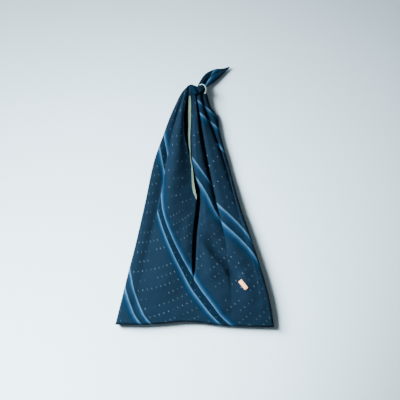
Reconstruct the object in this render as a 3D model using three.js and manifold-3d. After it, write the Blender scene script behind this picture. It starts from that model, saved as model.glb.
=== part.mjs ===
// A Japanese azuma bag of striped cotton, empty and laid on its back, its two horns drawn together and knotted.
// Millimetres. +Y runs from the bottom fold to the knot, +X to the right, +Z up off the surface it lies on.
import * as THREE from "three";
import { mergeVertices } from "three/addons/utils/BufferGeometryUtils.js";
import Module from "manifold-3d";

const wasm = await Module();
wasm.setup();

// ---- Driving sizes ---------------------------------------------------------------------------------------------
const CLOTH = 1.6; // outer cloth, with its seam allowances and starch, as one sheet
const LAYER_GAP = 0.3; // what stays between two layers that touch
const SIDE_ROLL = 6; // how far in from a side the cloth rolls over from back to front
const BOTTOM_ROLL = 8; // the same at the bottom fold
const TOP = 662; // where the gathered neck ends, under the knot
const TOP_ROLL = 14; // how far down from there it starts to round over
const HOLLOW_TOP = 614; // above this the gathered neck is cloth right through
// The bottom fold isn't straight: it lifts a little left of the middle and slants down to the right. Both are gone
// at the level where it fades.
const BOTTOM_BOW = { lift: 11, at: -18, reach: 80, slant: -0.016, base: -1.5, fade: 200 };
// The neck slit is cut from its foot to its head, down to just over the back cloth, or in the neck to neckFloor.
const SLIT = { foot: 353, head: 641, floor: 3.4, neck: 600, neckFloor: 16, above: 70 };
const LABEL = { x: 134, y: 115, length: 29, width: 11.2, turn: -51, thick: 1, clear: 0.9 };

// ---- The folds of the front ------------------------------------------------------------------------------------
// Each fold is a line that runs from the bottom to the knot. at is its place across the bag and up is the height of
// the cloth on it, at each of the levels. sharp is 0 on a rounded crest and 1 in a hard crease.
const LEVELS = [0, 60, 130, 240, 350, 450, 545, 580, 610, 646, 662];
const FOLDS = [
  { name: "left", sharp: 0.5, at: [-223, -208, -191, -163, -138, -117, -84, -71, -58, -40, -28],
    up: [20, 18, 15, 13, 13, 12, 11, 11, 12, 15, 16] },
  { name: "facet", sharp: 0, at: [-190, -180, -168, -144, -119, -97, -73, -61, -50, -34, -25],
    up: [20, 20, 18, 15, 15, 15, 16, 18, 20, 24, 22] },
  { name: "tuck", sharp: 0.5, at: [-170, -165, -151, -126, -100, -80, -61, -51, -42, -30, -22],
    up: [20, 19, 17, 13, 12.5, 12, 14, 16, 19, 24, 23] },
  { name: "panel", sharp: 0, at: [-90, -86, -78, -64, -50, -46, -41, -38, -34, -26, -19],
    up: [20, 21, 22, 22, 23, 25, 26, 26.5, 27, 27, 25] },
  { name: "left_lip", sharp: 0, at: [-30, -20, -10, -7.8, 3, -11.5, -30, -31, -27, -20, -16],
    up: [20, 20, 19, 19, 18, 16.5, 23, 25, 26, 26, 25] },
  { name: "gap", sharp: 0.9, at: [0, -2, -2.5, 1, 12, -10, -19, -19, -17, -16, -13],
    up: [20, 20, 17, 4, 4.5, 14, 17, 19, 22, 25, 24] },
  { name: "right_lip", sharp: 0, at: [30, 16, 5, 8.5, 18, -7, -11.5, -10, -9.4, -12, -10],
    up: [20, 20, 18, 17, 16, 16, 16, 18, 22, 25, 24] },
  { name: "ridge", sharp: 0, at: [60, 56, 50, 41, 28, 8, 3, 3, 2, -2, -3],
    up: [20, 21, 22, 21, 22.5, 24, 25, 25.5, 26, 27, 25] },
  { name: "crease", sharp: 2, at: [100, 102, 98, 84, 58, 36, 17.5, 12, 7, 4, 3],
    up: [20, 21, 21, 18.5, 13, 12, 13, 14, 17, 24, 24] },
  { name: "roll", sharp: 0, at: [140, 146, 142, 116, 86, 61, 36, 27, 19, 12, 9],
    up: [21, 23, 24, 23, 23, 23, 23.5, 24, 25, 26, 25] },
  { name: "pleat", sharp: 1.5, at: [180, 182, 172, 142, 112, 84, 51, 35, 24, 18, 14],
    up: [22, 25, 25.5, 23, 19, 15, 14, 15, 19, 23, 23] },
  { name: "rim", sharp: 0, at: [196, 192, 178, 147, 115, 89, 61, 51, 35, 26, 19],
    up: [22, 26, 27, 25, 21, 16, 17, 18, 20, 22, 22] },
  { name: "right", sharp: 0.5, at: [221, 211, 193, 158, 121, 94, 69, 65, 44, 33, 25],
    up: [22, 26, 27, 25, 21, 16.5, 12, 11, 12, 14, 15] },
];
// How many columns of the faceted cloth lie between one fold and the next.
const COLUMNS = [2, 2, 3, 3, 2, 2, 3, 2, 3, 2, 2, 2];

// The lining in the neck slit: its two edges, and the heights of its upper side there. Above the middle of the slit
// it hangs from the right lip, and below it curls over the left lip and ends in a point.
const LINING_ROWS = [
  { y: 352, left: 3.6, right: 5.4, leftZ: 20.8, rightZ: 20.8 },
  { y: 359, left: 0.5, right: 5.2, leftZ: 20.8, rightZ: 20.6 },
  { y: 372, left: -5, right: 2.6, leftZ: 20.6, rightZ: 20.2 },
  { y: 394, left: -8, right: -1.4, leftZ: 20.4, rightZ: 19.8 },
  { y: 417, left: -8.8, right: -4.2, leftZ: 19.3, rightZ: 18.8 },
  { y: 439, left: -9.5, right: -6.5, leftZ: 18.2, rightZ: 17.6 },
  { y: 461, left: -12.2, right: -10, leftZ: 17.2, rightZ: 16.5 },
  { y: 484, left: -14.5, right: -12.5, leftZ: 16, rightZ: 15.8 },
  { y: 506, left: -18.5, right: -13, leftZ: 13.5, rightZ: 15.4 },
  { y: 529, left: -19.6, right: -13, leftZ: 12, rightZ: 15.8 },
  { y: 551, left: -19.6, right: -12, leftZ: 11.8, rightZ: 16.4 },
  { y: 574, left: -19.6, right: -10.8, leftZ: 12.6, rightZ: 17.2 },
  { y: 596, left: -19.6, right: -10.3, leftZ: 17, rightZ: 20 },
  { y: 620, left: -18.4, right: -10.8, leftZ: 20, rightZ: 22 },
  { y: 639, left: -16.8, right: -12.2, leftZ: 23, rightZ: 24 },
];
const LINING = 1.2;

// The knot's band, which crosses the front from left to right: a row for each section across it.
const BAND_ROWS = [
  { x: -27, y: 651, high: 6, z: 18, deep: 6 },
  { x: -21, y: 655, high: 12, z: 19, deep: 10 },
  { x: -12, y: 657, high: 14, z: 20, deep: 11.5 },
  { x: -2, y: 653, high: 15.5, z: 20.5, deep: 12.5 },
  { x: 8, y: 652, high: 13, z: 20.5, deep: 11.5 },
  { x: 16, y: 656, high: 11, z: 20, deep: 11 },
  { x: 23, y: 658, high: 10, z: 18.5, deep: 9.5 },
  { x: 28, y: 658, high: 7, z: 17.5, deep: 6.5 },
];
// The free end of the right horn, from inside the knot to its point: a row for each section along it.
const TAIL_ROWS = [
  { x: 12, y: 640, half: 12, z: 14, thick: 18 },
  { x: 17, y: 660, half: 12, z: 13, thick: 15 },
  { x: 27, y: 677, half: 14, z: 11, thick: 12 },
  { x: 42, y: 691, half: 17, z: 8.5, thick: 9 },
  { x: 61, y: 703, half: 14, z: 7, thick: 7 },
  { x: 81, y: 712, half: 6.5, z: 6, thick: 5 },
  { x: 98, y: 722.5, half: 1, z: 5.5, thick: 2 },
];
// The turned edge of lining that shows round the right end of the band.
const EDGE_ROWS = [
  { x: 12, y: 668, z: 26 },
  { x: 16, y: 670, z: 26 },
  { x: 21, y: 670.5, z: 26 },
  { x: 26, y: 667.5, z: 26 },
  { x: 29.5, y: 662, z: 25.5 },
  { x: 31, y: 655, z: 25 },
  { x: 30, y: 649, z: 24.5 },
  { x: 26.5, y: 644.5, z: 24 },
];
const EDGE = { wide: 3, thick: 1.4 };

// ---- Curves through tables -------------------------------------------------------------------------------------
// A cubic through the values that never overshoots them: its slope at each value is the mean of the slopes beside
// it, or level where they turn.
function through(places, values, place) {
  const last = places.length - 1;
  let i = 0;
  while (i < last - 1 && place > places[i + 1]) i += 1;
  const rise = (k) => (values[k + 1] - values[k]) / (places[k + 1] - places[k]);
  const slope = (k) => {
    if (k === 0) return rise(0);
    if (k === last) return rise(last - 1);
    const [a, b] = [rise(k - 1), rise(k)];
    return a * b <= 0 ? 0 : (2 * a * b) / (a + b);
  };
  const step = places[i + 1] - places[i];
  const t = THREE.MathUtils.clamp((place - places[i]) / step, 0, 1);
  const bend = slope(i) * step * t * (1 - t) ** 2 - slope(i + 1) * step * t * t * (1 - t);
  return values[i] + (values[i + 1] - values[i]) * t * t * (3 - 2 * t) + bend;
}

function foldNamed(name) {
  return FOLDS.find((fold) => fold.name === name);
}

// All the folds' places and heights at one level.
function foldsAt(y) {
  return FOLDS.map((f) => ({ x: through(LEVELS, f.at, y), z: through(LEVELS, f.up, y), sharp: f.sharp }));
}

// Rounding from an edge inwards, as a quarter circle: 0 at the edge, 1 from reach on.
function quarterRound(distance, reach) {
  const t = THREE.MathUtils.clamp(distance / reach, 0, 1);
  return Math.sqrt(1 - (1 - t) ** 2);
}

// The front and the back of the cloth at x, with the folds of one level: outer skins, before the sheet's thickness.
function skins(folds, x, y) {
  const left = folds[0];
  const right = folds[folds.length - 1];
  let k = 0;
  while (k < folds.length - 2 && x > folds[k + 1].x) k += 1;
  const [a, b] = [folds[k], folds[k + 1]];
  const t = THREE.MathUtils.clamp((x - a.x) / (b.x - a.x), 0, 1);
  const ease = 2 * a.sharp * t * (1 - t) ** 2 + t * t * (3 - 2 * t) - 2 * b.sharp * t * t * (1 - t);
  const crown = a.z + (b.z - a.z) * ease;
  const across = (x - left.x) / (right.x - left.x);
  const middle = THREE.MathUtils.lerp(left.z, right.z, across) / 2;
  const ends = quarterRound(y, BOTTOM_ROLL) * quarterRound(TOP - y, TOP_ROLL);
  const round = quarterRound(Math.min(x - left.x, right.x - x), SIDE_ROLL) * ends;
  return { front: middle + (crown - middle) * round, back: middle - middle * round };
}

// How far the bow of the bottom fold moves the cloth up the bag.
function bowShift(x, y) {
  const { lift, at, reach, slant, base, fade } = BOTTOM_BOW;
  const foot = base + slant * x + lift * Math.exp(-(((x - at) / reach) ** 2));
  return foot * Math.max(0, 1 - y / fade) ** 2;
}

function placed(x, y, z) {
  return new THREE.Vector3(x, y + bowShift(x, y), z);
}

// ---- Solids ----------------------------------------------------------------------------------------------------
function solidFrom(vertices, faces) {
  const geometry = new THREE.BufferGeometry();
  geometry.setAttribute("position", new THREE.Float32BufferAttribute(vertices, 3));
  geometry.setIndex(faces);
  const merged = mergeVertices(geometry, 1e-4);
  const mesh = new wasm.Mesh({
    numProp: 3,
    vertProperties: merged.attributes.position.array,
    triVerts: new Uint32Array(merged.index.array),
  });
  return new wasm.Manifold(mesh);
}

// A closed solid through rings of points that all run the same way round, with a lid on each end ring. Rings that
// run the wrong way round would give a solid that is inside out, so its faces are then turned over.
function loft(rings) {
  const count = rings[0].length;
  const vertices = rings.flat().flatMap((p) => [p.x, p.y, p.z]);
  const faces = [];
  for (let r = 0; r < rings.length - 1; r += 1)
    for (let j = 0; j < count; j += 1) {
      const [a, b] = [r * count + j, r * count + ((j + 1) % count)];
      faces.push(a, b, b + count, a, b + count, a + count);
    }
  const lid = (ring, start, flip) => {
    const centre = ring.reduce((sum, p) => sum.add(p), new THREE.Vector3()).divideScalar(count);
    const normal = new THREE.Vector3();
    ring.forEach((p, j) => normal.add(p.clone().sub(centre).cross(ring[(j + 1) % count].clone().sub(centre))));
    normal.normalize();
    const along = ring[0].clone().sub(centre);
    along.addScaledVector(normal, -along.dot(normal)).normalize();
    const beside = normal.clone().cross(along);
    const flat = ring.map((p) => {
      const d = p.clone().sub(centre);
      return new THREE.Vector2(d.dot(along), d.dot(beside));
    });
    for (const [a, b, c] of THREE.ShapeUtils.triangulateShape(flat, [])) {
      if (flip) faces.push(start + a, start + c, start + b);
      else faces.push(start + a, start + b, start + c);
    }
  };
  lid(rings[0], 0, true);
  lid(rings[rings.length - 1], (rings.length - 1) * count, false);
  const solid = solidFrom(vertices, faces);
  return solid.volume() < 0 ? solidFrom(vertices, faces.reverse()) : solid;
}

// The places across one level where the sheet has a column of facets, in order and never too close.
function columnPlaces(folds) {
  const left = folds[0].x;
  const right = folds[folds.length - 1].x;
  const places = [];
  for (const degrees of [20, 45, 75]) {
    const inward = SIDE_ROLL * (1 - Math.cos(THREE.MathUtils.degToRad(degrees)));
    places.push(left + inward, right - inward);
  }
  COLUMNS.forEach((count, k) => {
    for (let i = k === 0 ? 1 : 0; i < count; i += 1)
      places.push(THREE.MathUtils.lerp(folds[k].x, folds[k + 1].x, i / count));
  });
  places.sort((a, b) => a - b);
  const closest = 0.25;
  for (let i = 0; i < places.length; i += 1) {
    const before = i ? places[i - 1] : left;
    places[i] = Math.max(places[i], before + closest);
  }
  for (let i = places.length - 1; i >= 0; i -= 1) {
    const after = i < places.length - 1 ? places[i + 1] : right;
    places[i] = Math.min(places[i], after - closest);
  }
  return places;
}

const BACK_PLACES = [0.985, 0.95, 0.88, 0.7, 0.5, 0.3, 0.12, 0.05, 0.015];

// One ring round the bag at a level, taken in by inset from the outer skin.
function bagRing(y, inset) {
  const folds = foldsAt(y);
  const left = folds[0].x;
  const right = folds[folds.length - 1].x;
  const squeeze = (x) => left + inset + ((x - left) * (right - left - 2 * inset)) / (right - left);
  const layer = (x) => {
    const probe = 0.4;
    const here = skins(folds, x, y);
    const ahead = skins(folds, x + probe, y);
    const behind = skins(folds, x - probe, y);
    const steep = (a, b) => Math.min(Math.hypot(1, (a - b) / (2 * probe)), 3);
    const middle = (here.front + here.back) / 2;
    return {
      front: Math.max(here.front - inset * steep(ahead.front, behind.front), middle + LAYER_GAP / 2),
      back: Math.min(here.back + inset * steep(ahead.back, behind.back), middle - LAYER_GAP / 2),
    };
  };
  const end = (x) => placed(squeeze(x), y, skins(folds, x, y).front);
  const front = columnPlaces(folds).map((x) => placed(squeeze(x), y, layer(squeeze(x)).front));
  const back = BACK_PLACES.map((part) => {
    const x = squeeze(THREE.MathUtils.lerp(left, right, part));
    return placed(x, y, layer(x).back);
  });
  return [end(left), ...front, end(right), ...back];
}

// Where a row of facets goes round a rolled end, as distances from the end.
function rollRows(reach) {
  return [10, 35, 60].map((degrees) => reach * (1 - Math.cos(THREE.MathUtils.degToRad(degrees))));
}

const BODY_ROWS = [
  30, 50, 75, 100, 130, 160, 190, 215, 240, 270, 300, 325, 345, 360,
  380, 405, 430, 455, 480, 510, 540, 560, 580, 595, 606,
];

function outerBody() {
  const bottom = [...rollRows(BOTTOM_ROLL), BOTTOM_ROLL];
  const top = [...rollRows(TOP_ROLL), TOP_ROLL].map((d) => TOP - d).reverse();
  return loft([...bottom, ...BODY_ROWS, 620, 634, ...top].map((y) => bagRing(y, 0)));
}

// The room inside the bag.
function innerRoom() {
  const bottom = [...rollRows(BOTTOM_ROLL), BOTTOM_ROLL].map((d) => d + CLOTH);
  return loft([...bottom, ...BODY_ROWS, HOLLOW_TOP].map((y) => bagRing(y, CLOTH)));
}

// What is cut away to open the neck slit: an upright blade between the two lips.
function slitCutter() {
  const [left, right] = ["left_lip", "right_lip"].map(foldNamed);
  const rows = [SLIT.foot, 362, 376, 392, 410, 430, 450, 480, 515, 546, 580, SLIT.neck, 615, 628, SLIT.head];
  const rings = rows.map((y) => {
    const [a, b] = [through(LEVELS, left.at, y), through(LEVELS, right.at, y)];
    const low = y <= SLIT.neck ? SLIT.floor : SLIT.neckFloor;
    return [
      new THREE.Vector3(a, y, SLIT.above),
      new THREE.Vector3(b, y, SLIT.above),
      new THREE.Vector3(b, y, low),
      new THREE.Vector3(a, y, low),
    ];
  });
  return loft(rings);
}

// Sections across the knot's band are ovals.
function bandSolid() {
  const around = 14;
  const rings = BAND_ROWS.map((row) =>
    Array.from({ length: around }, (_, j) => {
      const turn = (j / around) * 2 * Math.PI;
      return new THREE.Vector3(row.x, row.y + row.high * Math.cos(turn), row.z + row.deep * Math.sin(turn));
    }),
  );
  return loft(rings);
}

// Sections across the free end are flat lenses with a low fold along the middle.
function tailSolid() {
  const lens = [
    [-1, 0], [-0.72, 0.75], [-0.2, 1], [0.12, 0.62], [0.5, 0.95], [0.85, 0.6],
    [1, 0], [0.6, -0.85], [0, -1], [-0.6, -0.85],
  ];
  const last = TAIL_ROWS.length - 1;
  const rings = TAIL_ROWS.map((row, i) => {
    const [before, after] = [TAIL_ROWS[Math.max(0, i - 1)], TAIL_ROWS[Math.min(last, i + 1)]];
    const run = new THREE.Vector2(after.x - before.x, after.y - before.y).normalize();
    return lens.map(
      ([across, up]) =>
        new THREE.Vector3(
          row.x + run.y * across * row.half,
          row.y - run.x * across * row.half,
          row.z + (up * row.thick) / 2,
        ),
    );
  });
  return loft(rings);
}

// A thin strip between two edges given row by row, as a closed sheet.
function strip(rows, thick) {
  return loft(
    rows.map((edge) => {
      const under = edge.map((p) => new THREE.Vector3(p.x, p.y, p.z - thick));
      return [...edge, ...under.reverse()];
    }),
  );
}

// The lining that shows in the slit, rounded over from its right edge to its left.
function slitLining() {
  const steps = 4;
  const rows = LINING_ROWS.map((row) =>
    Array.from({ length: steps + 1 }, (_, i) => {
      const t = i / steps;
      const x = THREE.MathUtils.lerp(row.left, row.right, t);
      return new THREE.Vector3(x, row.y, THREE.MathUtils.lerp(row.rightZ, row.leftZ, (1 - t) ** 2));
    }),
  );
  return strip(rows, LINING);
}

function knotLining() {
  const last = EDGE_ROWS.length - 1;
  const rows = EDGE_ROWS.map((row, i) => {
    const [before, after] = [EDGE_ROWS[Math.max(0, i - 1)], EDGE_ROWS[Math.min(last, i + 1)]];
    const run = new THREE.Vector2(after.x - before.x, after.y - before.y).normalize();
    const side = EDGE.wide / 2;
    return [
      new THREE.Vector3(row.x + run.y * side, row.y - run.x * side, row.z),
      new THREE.Vector3(row.x - run.y * side, row.y + run.x * side, row.z),
    ];
  });
  return strip(rows, EDGE.thick);
}

// The label lies on the cloth and follows its curve.
function labelSolid() {
  const { x, y, length, width, turn, thick, clear } = LABEL;
  const [along, across] = [8, 3];
  const angle = THREE.MathUtils.degToRad(turn);
  const grid = Array.from({ length: along + 1 }, (_, i) =>
    Array.from({ length: across + 1 }, (_, j) => {
      const [s, t] = [(i / along - 0.5) * length, (j / across - 0.5) * width];
      const px = x + s * Math.cos(angle) - t * Math.sin(angle);
      const py = y + s * Math.sin(angle) + t * Math.cos(angle);
      const level = py - bowShift(px, py);
      return new THREE.Vector3(px, py, skins(foldsAt(level), px, level).front + clear + thick);
    }),
  );
  return strip(grid, thick);
}

// ---- The bag ---------------------------------------------------------------------------------------------------
const group = new THREE.Group();

function addNode(name, solid, color, roughness) {
  const { numProp, vertProperties, triVerts } = solid.getMesh();
  const geometry = new THREE.BufferGeometry();
  const points = [];
  for (let i = 0; i < vertProperties.length; i += numProp)
    points.push(vertProperties[i], vertProperties[i + 1], vertProperties[i + 2]);
  geometry.setAttribute("position", new THREE.Float32BufferAttribute(points, 3));
  geometry.setIndex([...triVerts]);
  geometry.computeVertexNormals();
  const mesh = new THREE.Mesh(geometry, new THREE.MeshStandardMaterial({ color, roughness, metalness: 0 }));
  mesh.name = name;
  group.add(mesh);
  return mesh;
}

const hollow = innerRoom().add(slitCutter());
const outerCloth = outerBody().subtract(hollow).add(bandSolid()).add(tailSolid());
addNode("outer_cloth", outerCloth, 0x1c4460, 0.9);
addNode("slit_lining", slitLining(), 0xb9cdbf, 0.9);
addNode("knot_lining", knotLining(), 0xb9cdbf, 0.9);
addNode("label", labelSolid(), 0xf3d3bc, 0.8);

// The origin is on the surface it lies on, under the middle of its box.
const box = new THREE.Box3().setFromObject(group);
const middle = box.getCenter(new THREE.Vector3());
group.position.set(-middle.x, -middle.y, -box.min.z);

export default group;
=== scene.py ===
# %% [markdown]
# # An azuma bag of striped cotton
# An azuma bag is one long piece of cotton, folded at the bottom and sewn up both sides. Its neck is cut to
# a V on the front and the back, so two long horns stand up, and the horns are tied in a knot. Here the bag
# is empty and lies on its back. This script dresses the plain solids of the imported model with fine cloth
# surfaces and finishes.

# %% The frame
import bmesh
import bpy
import numpy as np
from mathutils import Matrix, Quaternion, Vector


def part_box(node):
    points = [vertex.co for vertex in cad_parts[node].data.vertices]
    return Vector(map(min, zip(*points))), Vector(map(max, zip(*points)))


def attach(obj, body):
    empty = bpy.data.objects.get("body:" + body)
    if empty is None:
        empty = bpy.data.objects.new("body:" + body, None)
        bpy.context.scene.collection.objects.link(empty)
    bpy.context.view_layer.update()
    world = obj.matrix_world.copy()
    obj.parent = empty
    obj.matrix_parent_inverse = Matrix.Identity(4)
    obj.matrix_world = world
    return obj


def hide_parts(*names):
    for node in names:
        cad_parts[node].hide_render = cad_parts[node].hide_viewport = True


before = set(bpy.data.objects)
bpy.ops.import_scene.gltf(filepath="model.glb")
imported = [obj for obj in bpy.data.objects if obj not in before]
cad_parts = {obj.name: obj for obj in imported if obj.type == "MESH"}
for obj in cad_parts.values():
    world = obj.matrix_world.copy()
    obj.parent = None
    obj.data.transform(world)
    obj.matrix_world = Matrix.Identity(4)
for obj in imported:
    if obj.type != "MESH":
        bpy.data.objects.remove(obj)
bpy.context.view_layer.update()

MM = 0.001

# %% [markdown]
# ## The camera
# The bag is seen from straight above, so the camera looks down with no turn at all. A long lens from far
# away keeps the raised folds from leaning outwards. The height follows from how much floor the camera
# takes in.

# %% Camera
VIEW_WIDTH = 1.120
VIEW_CENTRE = (0.0150, -0.0093)
LENS, SENSOR = 85.0, 36.0

camera = bpy.data.objects.new("camera", bpy.data.cameras.new("camera"))
bpy.context.scene.collection.objects.link(camera)
camera.data.lens, camera.data.sensor_width = LENS, SENSOR
camera.location = (*VIEW_CENTRE, VIEW_WIDTH * LENS / SENSOR)
bpy.context.scene.camera = camera
print("camera height", round(camera.location.z, 3))

# %% [markdown]
# ## Cloth as folds
# The bag is drawn as a family of folds that fan out from the knot. Each fold is a line with its place
# across the bag and its height at a few levels, and the cloth runs smoothly from one fold line to the next.
# Modelling by folds keeps every crease where the hand that laid the bag out left it, which a free
# simulation wouldn't. All tables are in millimetres, from the middle of the bottom fold, with y running up
# to the knot.

# %% The fold lines
LEVELS = [0, 60, 130, 240, 350, 450, 545, 580, 610, 646, 662]
FOLDS = [
    {"name": "left", "sharp": 0.5, "at": [-223, -208, -191, -163, -138, -117, -84, -71, -58, -40, -28],
     "up": [20, 18, 15, 13, 13, 12, 11, 11, 12, 15, 16]},
    {"name": "facet", "sharp": 0, "at": [-190, -180, -168, -144, -119, -97, -73, -61, -50, -34, -25],
     "up": [20, 20, 18, 15, 15, 15, 16, 18, 20, 24, 22]},
    {"name": "tuck", "sharp": 0.5, "at": [-170, -165, -151, -126, -100, -80, -61, -51, -42, -30, -22],
     "up": [20, 19, 17, 13, 12.5, 12, 14, 16, 19, 24, 23]},
    {"name": "panel", "sharp": 0, "at": [-90, -86, -78, -64, -50, -46, -41, -38, -34, -26, -19],
     "up": [20, 21, 22, 22, 23, 25, 26, 26.5, 27, 27, 25]},
    {"name": "left_lip", "sharp": 0, "at": [-30, -20, -10, -7.8, 3, -11.5, -30, -31, -27, -20, -16],
     "up": [20, 20, 19, 19, 18, 16.5, 23, 25, 26, 26, 25]},
    {"name": "gap", "sharp": 0.9, "at": [0, -2, -2.5, 1, 12, -10, -19, -19, -17, -16, -13],
     "up": [20, 20, 17, 4, 4.5, 14, 17, 19, 22, 25, 24]},
    {"name": "right_lip", "sharp": 0, "at": [30, 16, 5, 8.5, 18, -7, -11.5, -10, -9.4, -12, -10],
     "up": [20, 20, 18, 17, 16, 16, 16, 18, 22, 25, 24]},
    {"name": "ridge", "sharp": 0, "at": [60, 56, 50, 41, 28, 8, 3, 3, 2, -2, -3],
     "up": [20, 21, 22, 21, 22.5, 24, 25, 25.5, 26, 27, 25]},
    {"name": "crease", "sharp": 2, "at": [100, 102, 98, 84, 58, 36, 17.5, 12, 7, 4, 3],
     "up": [20, 21, 21, 18.5, 13, 12, 13, 14, 17, 24, 24]},
    {"name": "roll", "sharp": 0, "at": [140, 146, 142, 116, 86, 61, 36, 27, 19, 12, 9],
     "up": [21, 23, 24, 23, 23, 23, 23.5, 24, 25, 26, 25]},
    {"name": "pleat", "sharp": 1.5, "at": [180, 182, 172, 142, 112, 84, 51, 35, 24, 18, 14],
     "up": [22, 25, 25.5, 23, 19, 15, 14, 15, 19, 23, 23]},
    {"name": "rim", "sharp": 0, "at": [196, 192, 178, 147, 115, 89, 61, 51, 35, 26, 19],
     "up": [22, 26, 27, 25, 21, 16, 17, 18, 20, 22, 22]},
    {"name": "right", "sharp": 0.5, "at": [221, 211, 193, 158, 121, 94, 69, 65, 44, 33, 25],
     "up": [22, 26, 27, 25, 21, 16.5, 12, 11, 12, 14, 15]},
]
NAMES = [fold["name"] for fold in FOLDS]
SIDE_ROLL, BOTTOM_ROLL, TOP_ROLL = 6, 8, 14
TOP = 662
TIP = 723.4
BOW = {"lift": 11, "at": -18, "reach": 80, "slant": -0.016, "base": -1.5, "fade": 200}
SLIT = {"foot": 353, "open": 378, "shut": 634, "head": 645}
print(len(FOLDS), "fold lines at", len(LEVELS), "levels")

# %% [markdown]
# ## Curves through a table
# A fold line is known at eleven levels only, and cloth bends smoothly along a fold. An ordinary spline
# through the values could swing past them and make waves that nobody laid, so the curve used here never
# overshoots. The helpers after it shape S-curved slopes, rounded edges and soft swells.

# %% Curves and easing
def through(places, values, place):
    """Cubic through the values that never overshoots: its slope at each value is the harmonic mean of the
    rises on both sides, level where they turn, and at an end the rise of the end stretch."""
    places, values = np.asarray(places, float), np.asarray(values, float)
    rise = np.diff(values) / np.diff(places)
    before, after = rise[:-1], rise[1:]
    turns = before * after <= 0
    mean = 2 * before * after / np.where(turns, 1, before + after)
    slope = np.concatenate([rise[:1], np.where(turns, 0, mean), rise[-1:]])
    i = np.clip(np.searchsorted(places, place) - 1, 0, len(places) - 2)
    step = places[i + 1] - places[i]
    t = np.clip((place - places[i]) / step, 0, 1)
    bend = slope[i] * step * t * (1 - t) ** 2 - slope[i + 1] * step * t**2 * (1 - t)
    return values[i] + (values[i + 1] - values[i]) * t**2 * (3 - 2 * t) + bend


def smooth_step(low, high, value):
    """0 below low, 1 above high, and the S curve 3t^2 - 2t^3 between them."""
    t = np.clip((value - low) / (high - low), 0, 1)
    return t * t * (3 - 2 * t)


def quarter_round(distance, reach):
    """Rounding from an edge inwards as a quarter circle: 0 at the edge, 1 from reach on."""
    return np.sqrt(1 - (1 - np.clip(distance / reach, 0, 1)) ** 2)


def bump(x, centre, width):
    """A bell, 1 at the centre and fading over the width: exp(-((x - centre) / width)^2)."""
    return np.exp(-(((x - centre) / width) ** 2))


def bow_shift(x, y):
    """The bow of the bottom fold moves the cloth up: a bell on a slant that is gone at its fade level."""
    foot = BOW["base"] + BOW["slant"] * x + BOW["lift"] * bump(x, BOW["at"], BOW["reach"])
    return foot * np.maximum(0, 1 - y / BOW["fade"]) ** 2


print("the bow lifts the middle of the base by", round(float(bow_shift(BOW["at"], 0)), 1), "mm")

# %% [markdown]
# ## From tables to a grid
# The front is a grid whose columns follow the fold lines, so a sharp crease always has a line of points
# along its bottom. The neck slit parts the front into a left and a right grid that share the line of the
# gap below its foot.

# %% Rows and columns
ROLL_ROWS, BODY_ROWS = 8, 170
SIDE_COLUMNS = 10
LEFT_COLUMNS = {"tuck": 4, "panel": 20, "edge": 32}
RIGHT_COLUMNS = {"ridge": 18, "crease": 16, "roll": 14, "pleat": 12, "rim": 4}
CROWD = 1.5


def row_levels():
    """Levels of the rows: by equal angles round the bottom and top rolls, and evenly between them."""
    turn = np.radians(np.linspace(0, 90, ROLL_ROWS))
    bottom = BOTTOM_ROLL * (1 - np.cos(turn))
    top = TOP - TOP_ROLL * (1 - np.cos(turn[::-1]))
    return np.concatenate([bottom, np.linspace(BOTTOM_ROLL, top[0], BODY_ROWS)[1:-1], top])


def run(start, end, shares):
    """Places between two fold lines, one column for each share of the way."""
    return start[:, None] + (end - start)[:, None] * shares


def even(count):
    """Equal shares of the way, from 0 up to but not 1."""
    return np.arange(count) / count


def crowd_start(count):
    """Shares that crowd towards the start: the equal ones to the power of CROWD."""
    return even(count) ** CROWD


def crowd_end(count):
    """Shares that crowd towards the end: 1 less the power of what is left of the way."""
    return 1 - (1 - even(count)) ** CROWD


ROWS = row_levels()
AT = np.stack([through(LEVELS, fold["at"], ROWS) for fold in FOLDS], axis=1)
UP = np.stack([through(LEVELS, fold["up"], ROWS) for fold in FOLDS], axis=1)
SHARP = np.array([fold["sharp"] for fold in FOLDS], float)


def column_places(opening):
    """Places of the columns of the left and the right front grid in every row. The inner edges move from
    the gap to the lips as the opening goes from 0 to 1. Next to the sides the columns crowd towards the
    edge."""
    fold = dict(zip(NAMES, AT.T))
    left_edge = fold["gap"] + (fold["left_lip"] - fold["gap"]) * opening
    right_edge = fold["gap"] + (fold["right_lip"] - fold["gap"]) * opening
    inward = 1 - np.cos(even(SIDE_COLUMNS) * np.pi / 2)
    outward = 1 - np.append(inward[1:], 1)[::-1]
    left = [
        run(fold["left"], fold["facet"], inward),
        run(fold["facet"], fold["tuck"], even(LEFT_COLUMNS["tuck"])),
        run(fold["tuck"], fold["panel"], even(LEFT_COLUMNS["panel"])),
        run(fold["panel"], left_edge, np.append(crowd_end(LEFT_COLUMNS["edge"]), 1)),
    ]
    right = [run(right_edge, fold["ridge"], crowd_start(RIGHT_COLUMNS["ridge"]))]
    for a, b, spread in (("ridge", "crease", crowd_end), ("crease", "roll", crowd_start),
                         ("roll", "pleat", crowd_end), ("pleat", "rim", even)):
        right.append(run(fold[a], fold[b], spread(RIGHT_COLUMNS[b])))
    right.append(run(fold["rim"], fold["right"], np.concatenate([outward, [1]])))
    return np.hstack(left), np.hstack(right)


# 1 where the slit is open, easing to 0 at its foot and its head.
OPENING = smooth_step(SLIT["foot"], SLIT["open"], ROWS) * (1 - smooth_step(SLIT["shut"], SLIT["head"], ROWS))
left_x, right_x = column_places(OPENING)
closed_left, closed_right = column_places(0 * OPENING)
back_x = np.hstack([closed_left[:, ::2], closed_right[:, 2::2]])
print("rows", len(ROWS), "columns left, right, back", left_x.shape[1], right_x.shape[1], back_x.shape[1])

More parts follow.
